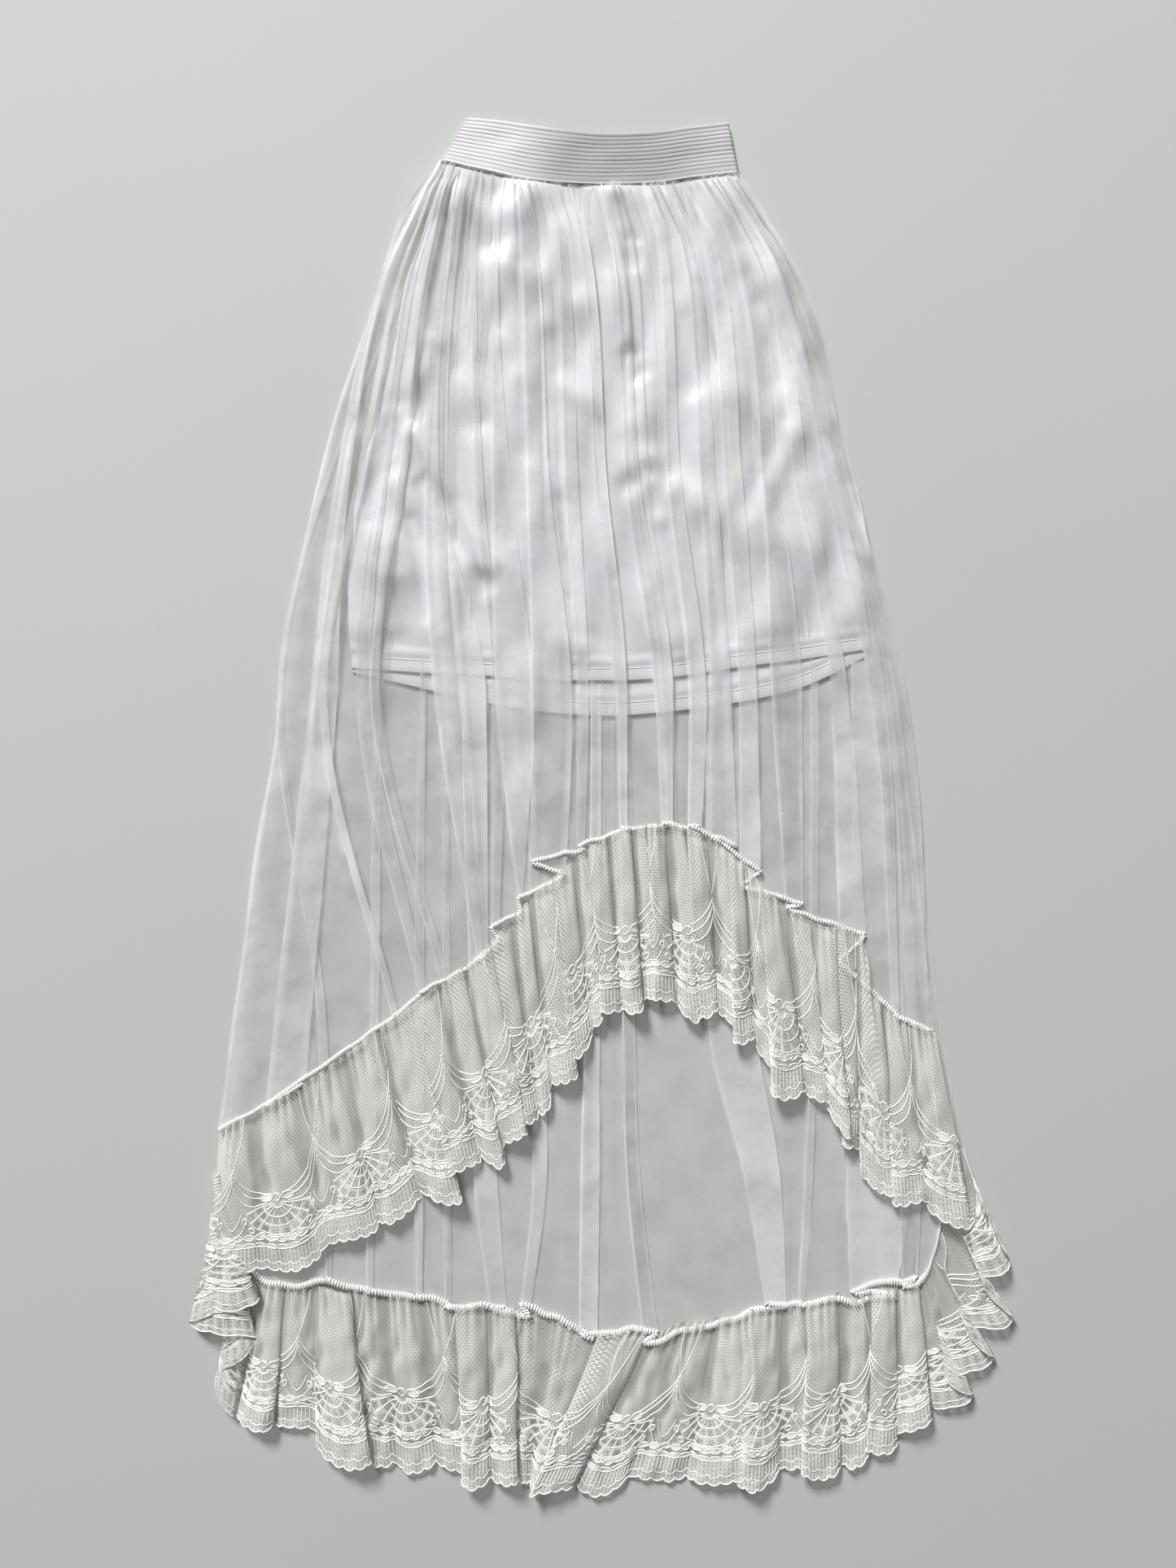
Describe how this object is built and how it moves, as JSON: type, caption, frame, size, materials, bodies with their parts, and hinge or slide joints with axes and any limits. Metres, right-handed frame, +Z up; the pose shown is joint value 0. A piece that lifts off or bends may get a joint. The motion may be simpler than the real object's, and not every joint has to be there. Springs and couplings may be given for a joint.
{
  "type": "lace skirt",
  "caption": "Sheer net skirt laid flat, shorter in front than behind, with an elastic waistband, a short jersey lining and a gathered scalloped lace ruffle round the hem.",
  "frame": {"origin": "middle of the underside that rests on the surface", "axes": "X across the skirt, Y from the lace hem toward the waistband, Z up from the surface"},
  "size_m": [0.654, 1.094, 0.01],
  "materials": {
    "elastic": "matt ribbed woven elastic",
    "jersey": "soft satin jersey",
    "net": "sheer fine net",
    "seam_thread": "overlocked rolled seam",
    "lace": "matt ivory lace"
  },
  "bodies": {
    "root": {"waistband": "elastic", "lining_back": "jersey", "lining_front": "jersey", "overskirt_back": "net", "overskirt_front": "net", "hem_seam_back": "seam_thread", "hem_seam_front": "seam_thread", "ruffle_back": "lace", "ruffle_front": "lace", "ruffle_left": "lace", "ruffle_right": "lace"}
  },
  "joints": []
}
